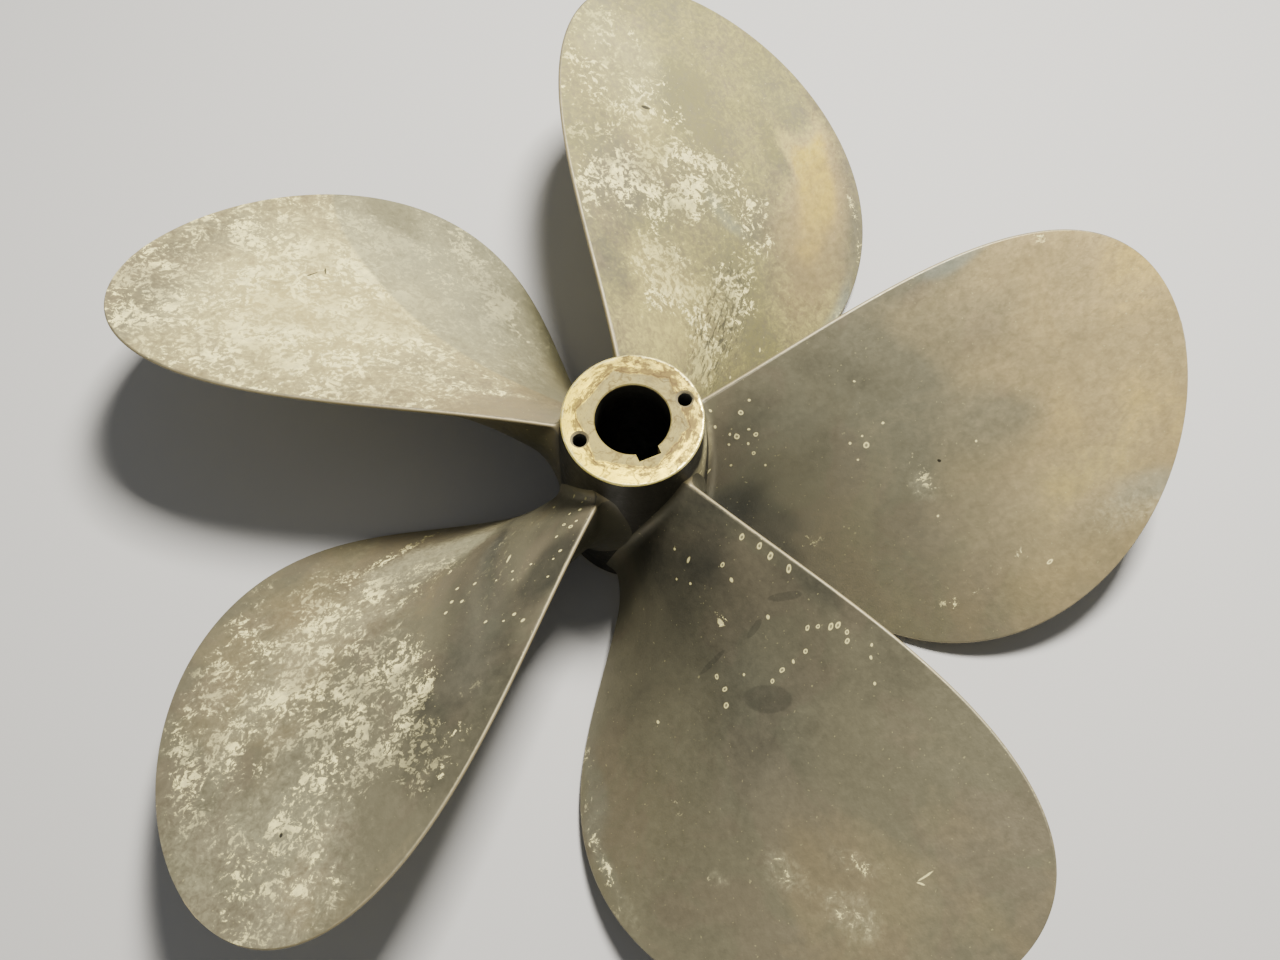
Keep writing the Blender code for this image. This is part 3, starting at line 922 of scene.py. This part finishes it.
def finish(t, shader, tint, metal, rough, height, relief):
    """Connects a finish to its shader. The relief is the height of its bumps in metres."""
    made = t.node("ShaderNodeBump")
    t.feed(made.inputs["Distance"], relief)
    t.feed(made.inputs["Height"], height)
    for name, value in (("Base Color", tint), ("Metallic", metal), ("Roughness", rough),
                        ("Normal", made.outputs[0])):
        t.feed(shader.inputs[name], value)


def add_marks(t, at, colours, which, tint):
    """A blade's colour with its own small marks, and the mask of its pale drops and dots."""
    plan = t.vector("ADD", t.join(t.attribute("out"), t.attribute("along")),
                    t.shift(at, 260, 1, 0.55, (0.0012, 0.0012, 0)))
    face = t.attribute("on_face")
    if which in PITS:
        dashes = t.noise(t.vector("MULTIPLY", plan, (0.28, 1, 1)), 330, 2, 0.6)
        eaten = t.times(t.ease(dashes, 0.53, 0.59), t.attribute("pits"))
        tint = t.layers(tint, (t.times(eaten, 0.75), colours.dark))
    for marks, outer, inner, strength, colour_in in (
        (PATCHES, 1.004, 0.99, 0.72, colours.film_grey),
        (STAINS, 1.08, 0.92, 0.36, colours.dark),
        (NICKS, 1.2, 0.8, 0.9, colours.bore),
    ):
        if which in marks:
            inside = t.times(t.ease(nearest(t, plan, marks[which]), outer, inner), face)
            tint = t.layers(tint, (t.times(inside, strength), colour_in))
    light = t.ease(nearest(t, plan, DOTS[which]), 1.25, 0.75)
    if which in DROPS:
        away = nearest(t, plan, DROPS[which])
        rim = t.minus(1, t.math("ABSOLUTE", t.minus(away, 1)))
        drops = t.most(t.ease(rim, 0.45, 0.85), t.remap(away, 1.1, 0.7, 0, 0.22))
        light = t.most(drops, light)
    light = t.times(light, face)
    return t.layers(tint, (t.times(light, 0.62), colours.chalk_light)), light


def bronze_material(name, colours, deep, which=None):
    """Cast bronze gone olive, with its chalk and worn edges, and a blade's own marks."""
    material, t, shader, at, grain, wear = begin(name, 1, "edge_gap", CAST_WEAR)
    chalk = t.use(chalk_deposit, vector=at, density=t.attribute("flakes"),
                  film=t.attribute("film"))
    clouds, mottle = t.minus(grain["Clouds"], 0.5), t.minus(grain["Mottle"], 0.5)
    tone = t.sum_of(mottle, 0.10, t.sum_of(clouds, 0.26, t.attribute("tone")))
    thin, thick = OTHER_FILM_SHADES.get(which, FILM_SHADES)
    thickness = t.sum_of(t.minus(chalk["Grain"], 0.5), 1.3, tone)
    film_tint = t.layers(getattr(colours, thin),
                         (t.remap(thickness, 0, 0.65), getattr(colours, thick)))
    chalk_tint = t.layers(colours.chalk,
                          (t.remap(grain["Mottle"], 0.1, 0.7), colours.chalk_light))
    green = t.times(t.attribute("green"), t.remap(clouds, -0.4, 0.4, 0.35, 0.9))
    tint = t.layers(
        colours.bronze,
        (t.times(grain["Warmth"], 0.36), colours.umber),
        (t.remap(tone, 0, 1), colours.tan),
        (t.ease(tone, 0.75, 1.6), colours.ochre),
        # The darkest tone: dark oxide on a blade, painted shade on the hub's side
        (t.ease(tone, 0, -1.1), deep),
        (t.times(chalk["Film"], 0.78), film_tint),
        (t.times(chalk["Flakes"], 0.92), chalk_tint),
        (t.times(grain["Specks"], 0.5), colours.chalk),
        (green, colours.verdigris),
    )
    rough = t.levels(t.sum_of(mottle, 0.16, 0.46), (chalk["Film"], 0.62), (chalk["Flakes"], 0.88))
    metal = t.levels(0.62, (chalk["Film"], 0.25), (chalk["Flakes"], 0))
    if which is not None:
        tint, light = add_marks(t, at, colours, which, tint)
        rough, metal = t.levels(rough, (light, 0.85)), t.levels(metal, (light, 0))
    finish(t, shader, t.layers(tint, (t.times(wear, 0.7), colours.worn)),
           t.levels(metal, (wear, 0.5)), t.levels(rough, (wear, 0.56)),
           t.sum_of(chalk["Height"], 0.6, grain["Height"]), CAST_RELIEF)
    return material


def brass_material(colours):
    """The turned ends: golden, with the shaft nut's print, stains round it, a painted highlight.
    """
    material, t, shader, at, grain, wear = begin("turned_brass_painted_highlight", 0.35, "rim_gap", TURNED_WEAR)
    bent = t.vector("ADD", at, t.shift(at, 110, 3, 0.55, (0.006, 0.006, 0)))
    away = None
    for turn in (NUT_TURN, NUT_TURN - 60, NUT_TURN + 60):
        across = (math.cos(math.radians(turn)), math.sin(math.radians(turn)), 0)
        side = t.math("ABSOLUTE", t.vector("DOT_PRODUCT", bent, across))
        away = side if away is None else t.most(away, side)
    aft = t.attribute("aft_end")
    pressed = t.times(t.ease(away, NUT_HALF + 0.0006, NUT_HALF - 0.0006), aft)
    level = t.vector("MULTIPLY", at, (1, 1, 0))
    reach = t.vector("LENGTH", level)
    turned = t.vector("ADD", t.vector("MULTIPLY", t.vector("NORMALIZE", level),
                                      (0.012, 0.012, 0.012)), t.join(0, 0, reach))
    arcs, fine = t.noise(turned, 420, 5, 0.7, 0.6), t.noise(turned, 1500, 3, 0.7, 0.4)
    # Painted highlight: how far a point lies towards the side painted brighter
    toward_highlight = t.vector("DOT_PRODUCT", at, PAINTED_HIGHLIGHT_SIDE)
    blots = t.sum_of(t.noise(bent, 150, 5, 0.7), 0.5, t.times(arcs, 0.5))
    blots = t.sum_of(t.near(away, NUT_HALF + 0.0022, 0.0050), 0.10,
                     t.sum_of(toward_highlight, -0.05, blots))
    stain = t.times(t.ease(blots, 0.48, 0.61), t.minus(1, t.times(pressed, 0.6)))
    # Painted shade away from that side, with random dullness, in the print's colour
    dullness_and_painted_shade = t.math("MULTIPLY_ADD", toward_highlight, -0.28, t.remap(grain["Mottle"], 0.1, 0.9, 0.04, 0.42),
                  clamp=True)
    line = t.times(t.times(t.near(away, NUT_HALF + 0.0008, 0.0009), aft),
                   t.remap(arcs, 0.28, 0.5))
    tide = t.near(t.noise(bent, 46, 3, 0.5), 0.5, 0.022)
    line = t.most(t.most(line, t.times(tide, 0.7)), t.ease(fine, 0.56, 0.68, 0, 0.7))
    rough = t.sum_of(toward_highlight, -0.07, t.remap(grain["Mottle"], 0, 1, 0.50, 0.62))
    tint = t.layers(
        colours.machined,
        (dullness_and_painted_shade, colours.pressed),
        (t.times(pressed, 0.75), colours.pressed),
        (t.times(line, 0.8), colours.stain),
        (t.times(stain, 0.84), colours.stain),
        (t.times(wear, 0.6), colours.chalk_light),
    )
    shader.inputs["Specular IOR Level"].default_value = 0.2
    lines = t.noise(t.join(reach, 0), 1500, 2)
    finish(t, shader, tint, t.levels(0.8, (pressed, 0.4), (t.most(stain, line), 0.2)),
           t.levels(rough, (pressed, 0.74), (wear, 0.30)),
           t.sum_of(lines, 0.5, grain["Height"]), TURNED_RELIEF)
    return material


def bore_material(colours):
    """Walls of the bore, keyway and puller holes in painted shade, with painted light at the
    mouth.
    """
    material, t, shader, at, grain, wear = begin("bored_bronze_painted_shade", 0.6, "edge_gap", BORED_WEAR)
    streaks = t.noise(t.vector("MULTIPLY", at, (1, 1, 0.12)), 130, 4, 0.6)
    clean = t.ease(streaks, 0.56, 0.80, 0, 0.25)
    height = t.vector("DOT_PRODUCT", at, (0, 0, 1))
    # Painted shade deep in the holes, and painted light near their aft mouths
    tint = t.layers(colours.bore, (clean, colours.bronze),
                    (t.remap(height, HUB_LENGTH - MOUTH_DEPTH, HUB_LENGTH), colours.dark),
                    (t.times(wear, 0.7), colours.worn))
    finish(t, shader, tint, t.levels(0.1, (clean, 0.7)),
           t.remap(grain["Mottle"], 0, 1, 0.36, 0.62),
           t.sum_of(streaks, 0.6, grain["Height"]), BORED_RELIEF)
    return material


class PROPELLER_OT_blades(Operator):
    """Build the blades with their root fillets and oxidised finish"""

    bl_idname = "propeller.blades"
    bl_label = "Blades"

    def execute(self, context):
        sizes, colours = context.scene.propeller_sizes, context.scene.propeller_colours
        for index in range(sizes.blades):
            skin = bronze_material(f"oxidised_bronze_{index + 1}", colours, colours.dark,
                                   index % len(FLAKES))
            show(f"blade_{index + 1}", blade_mesh(sizes, index), skin)
        return {"FINISHED"}


class PROPELLER_OT_hub(Operator):
    """Build the hub with its tapered bore, keyway and puller holes"""

    bl_idname = "propeller.hub"
    bl_label = "Hub"

    def execute(self, context):
        sizes, colours = context.scene.propeller_sizes, context.scene.propeller_colours
        # The hub's side is painted in shade, in the hub's shade colour
        skin = bronze_material("oxidised_bronze_hub_painted_shade", colours, colours.grime)
        show("hub", hub_mesh(sizes), skin, brass_material(colours), bore_material(colours))
        return {"FINISHED"}


class PROPELLER_OT_stage(Operator):
    """Build the studio: a pale floor, soft lamps and the camera"""

    bl_idname = "propeller.stage"
    bl_label = "Studio"

    def execute(self, context):
        scene = context.scene
        bm = bmesh.new()
        bmesh.ops.create_grid(bm, x_segments=1, y_segments=1, size=FLOOR_HALF)
        mesh = bpy.data.meshes.new("floor")
        bm.to_mesh(mesh)
        bm.free()
        floor = placed("floor", mesh)
        floor.location.z = CAD_LOW.z - FLOOR_GAP
        material, _, shader = new_material("studio_floor")
        shader.inputs["Base Color"].default_value = (*scene.propeller_colours.floor, 1.0)
        shader.inputs["Roughness"].default_value = FLOOR_ROUGHNESS
        mesh.materials.append(material)

        world = bpy.data.worlds.new("studio")
        world.use_nodes = True
        sky = world.node_tree.nodes["Background"]
        sky.inputs["Color"].default_value = SKY_TINT
        sky.inputs["Strength"].default_value = SKY_STRENGTH
        scene.world = world
        for name, at, power, size, tint in LAMPS:
            light = bpy.data.lights.new(name, "AREA")
            light.energy, light.size, light.color = power, size, tint
            lamp = placed(name, light)
            lamp.location = at
            lamp.rotation_euler = (-lamp.location).to_track_quat("-Z", "Y").to_euler()

        camera = placed("camera", bpy.data.cameras.new("camera"))
        camera.data.lens = CAMERA_LENS
        camera.location = CAMERA_AT
        camera.rotation_euler = [math.radians(a) for a in CAMERA_TURN]
        scene.camera = camera
        return {"FINISHED"}


class PROPELLER_PT_panel(Panel):
    """Lists the propeller's pieces, sizes and colours."""

    bl_label = "Bronze Propeller"
    bl_idname = "PROPELLER_PT_panel"
    bl_space_type = "VIEW_3D"
    bl_region_type = "UI"
    bl_category = "Propeller"

    def draw(self, context):
        layout = self.layout
        for operator in (PROPELLER_OT_blades, PROPELLER_OT_hub, PROPELLER_OT_stage):
            layout.operator(operator.bl_idname)
        for group in (context.scene.propeller_sizes, context.scene.propeller_colours):
            box = layout.box()
            for name in group.__annotations__:
                box.prop(group, name)


CLASSES = (PropellerSizes, PropellerColours, PROPELLER_OT_blades, PROPELLER_OT_hub,
           PROPELLER_OT_stage, PROPELLER_PT_panel)


def register():
    for item in CLASSES:
        bpy.utils.register_class(item)
    bpy.types.Scene.propeller_sizes = PointerProperty(type=PropellerSizes)
    bpy.types.Scene.propeller_colours = PointerProperty(type=PropellerColours)


def unregister():
    del bpy.types.Scene.propeller_colours
    del bpy.types.Scene.propeller_sizes
    for item in reversed(CLASSES):
        bpy.utils.unregister_class(item)


def main():
    register()
    bpy.ops.propeller.hub()
    bpy.ops.propeller.blades()
    bpy.ops.propeller.stage()


if __name__ == "__main__":
    main()
